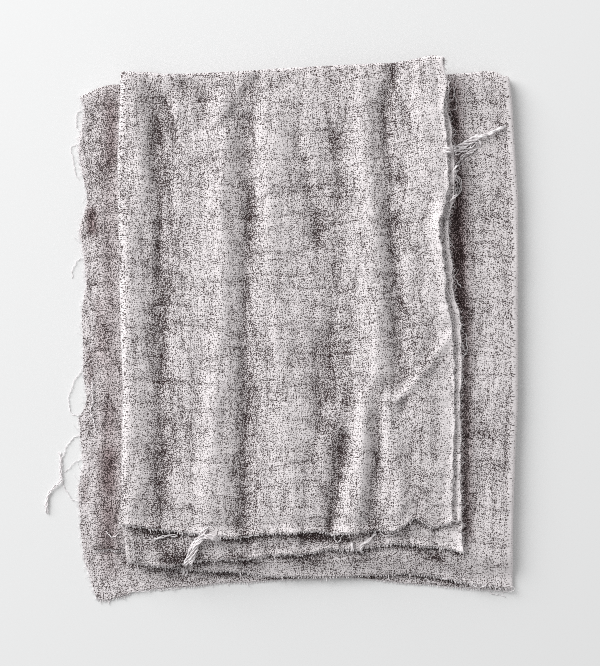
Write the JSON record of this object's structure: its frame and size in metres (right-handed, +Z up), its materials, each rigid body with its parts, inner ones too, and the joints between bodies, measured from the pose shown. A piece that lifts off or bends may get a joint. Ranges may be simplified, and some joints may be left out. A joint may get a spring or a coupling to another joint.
{
  "type": "napkin",
  "caption": "Folded cloth napkin of pale, crinkled open weave, doubled and then folded in three, with selvedges at the sides and raw fringed ends; lies flat on a table",
  "frame": {"origin": "centre of the bounding box in x and y, on the surface that the napkin lies on", "axes": "+Z up out of the stack of layers, +Y along the side folds towards the top fold, +X across towards the smooth side fold"},
  "size_m": [0.1902, 0.2342, 0.0138],
  "materials": {
    "cloth": "matte crinkled open weave, pale warm grey"
  },
  "bodies": {
    "root": {"napkin": "cloth"}
  },
  "joints": []
}
